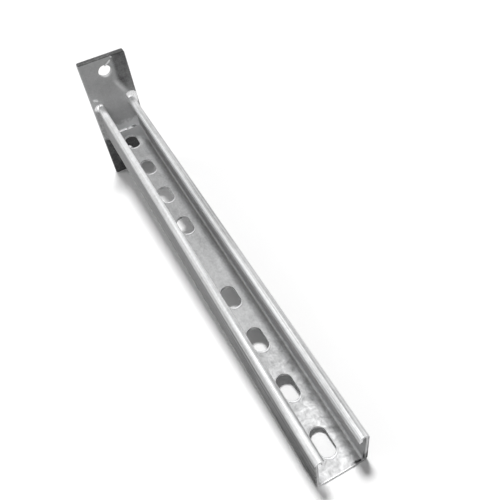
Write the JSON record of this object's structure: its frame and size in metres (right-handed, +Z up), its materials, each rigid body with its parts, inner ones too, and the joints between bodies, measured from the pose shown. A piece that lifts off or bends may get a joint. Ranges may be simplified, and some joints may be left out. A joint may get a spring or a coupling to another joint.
{
  "type": "cantilever bracket",
  "caption": "Wall-mounted cantilever arm: a slotted open steel strut channel, welded square to a drilled wall plate, hot-dip galvanised.",
  "frame": {"origin": "centre of the wall plate's back face, on the centre line of the arm", "axes": "+X out along the arm from the wall, +Z up towards the channel's open side, +Y across"},
  "size_m": [0.456, 0.05, 0.14],
  "materials": {
    "channel_zinc": "hot-dip galvanised roll-formed strip, drawn streaks along the arm, mottled web",
    "plate_zinc": "hot-dip galvanised flat bar, satin grey with soft clouding and zinc runs",
    "weld_zinc": "galvanised fillet weld, rippled and bright on its crests"
  },
  "bodies": {
    "root": {"strut_channel": "channel_zinc", "wall_plate": "plate_zinc", "weld_bead": "weld_zinc"}
  },
  "joints": []
}
